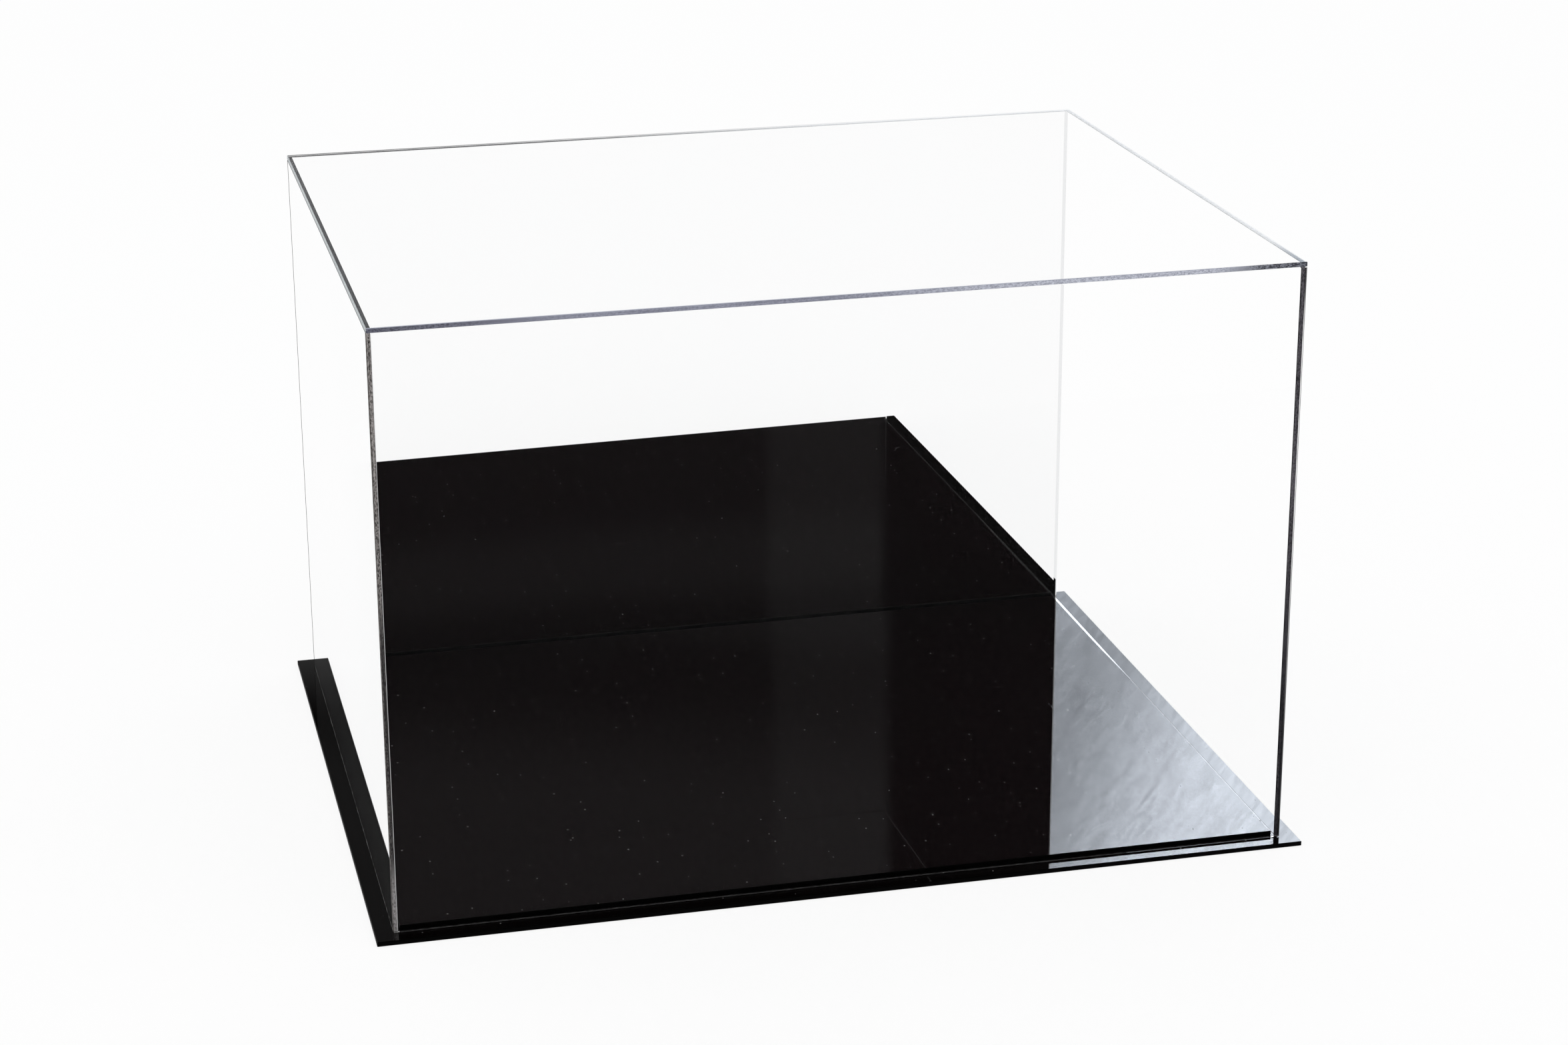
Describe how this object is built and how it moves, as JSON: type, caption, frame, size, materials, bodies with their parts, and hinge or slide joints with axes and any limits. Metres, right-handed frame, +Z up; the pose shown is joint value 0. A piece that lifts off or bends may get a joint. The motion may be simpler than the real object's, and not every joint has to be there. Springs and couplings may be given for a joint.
{
  "type": "acrylic display case",
  "caption": "Clear box-shaped display case: a lift-off cover with clear walls, clear top and mirror back, standing on the lip of a black two-step base.",
  "frame": {"origin": "middle of the underside of the base plate, on the surface that the case stands on", "axes": "+X to the right along the width, +Y from the front panel to the mirror back, +Z up"},
  "size_m": [0.475, 0.376, 0.3075],
  "materials": {
    "black_acrylic": "polished black acrylic sheet with fine hairline scratches",
    "clear_acrylic": "polished clear acrylic sheet with cemented edges",
    "mirror_coat": "silvered towards the inside, grey protective paint on the back"
  },
  "bodies": {
    "base": {"base_plate": "black_acrylic", "raised_plate": "black_acrylic"},
    "cover": {"front_panel": "clear_acrylic", "left_panel": "clear_acrylic", "right_panel": "clear_acrylic", "top_panel": "clear_acrylic", "mirror_sheet": "clear_acrylic", "mirror_coat": "mirror_coat"}
  },
  "joints": [
    {"name": "cover_lift", "type": "slide", "parent": "base", "child": "cover", "axis": [0, 0, 1], "range_m": [0, 0.32]}
  ]
}
